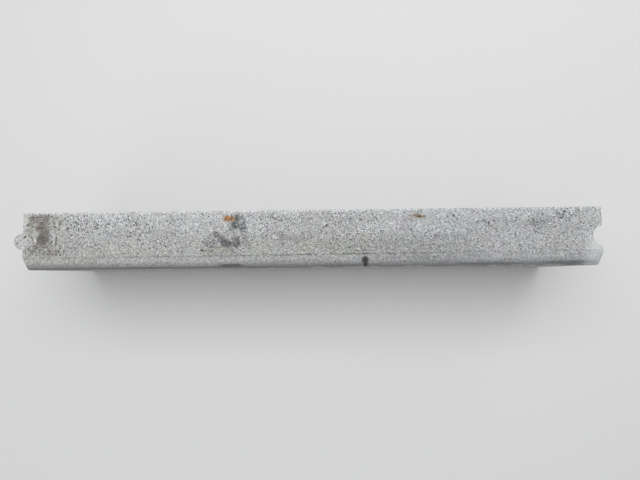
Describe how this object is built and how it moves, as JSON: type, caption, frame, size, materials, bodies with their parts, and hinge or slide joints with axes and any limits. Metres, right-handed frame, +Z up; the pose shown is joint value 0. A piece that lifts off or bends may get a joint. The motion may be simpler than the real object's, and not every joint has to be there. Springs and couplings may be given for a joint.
{
  "type": "concrete kerb stone",
  "caption": "Upright precast concrete edging kerb with a bevelled front top edge, a round tongue on one end and a matching groove in the other.",
  "frame": {"origin": "middle of the bed, halfway between the two end faces; the tongue stands out beyond the -X end face", "axes": "+Z up, +X along the stone from the tongue to the groove, -Y towards the bevelled front"},
  "size_m": [1.015, 0.1, 0.25],
  "materials": {
    "concrete": "dry-cast concrete, open-pored and rough on top, closer on the bevel, with brown and grey stains and pale lime"
  },
  "bodies": {
    "root": {"kerb_stone": "concrete"}
  },
  "joints": []
}
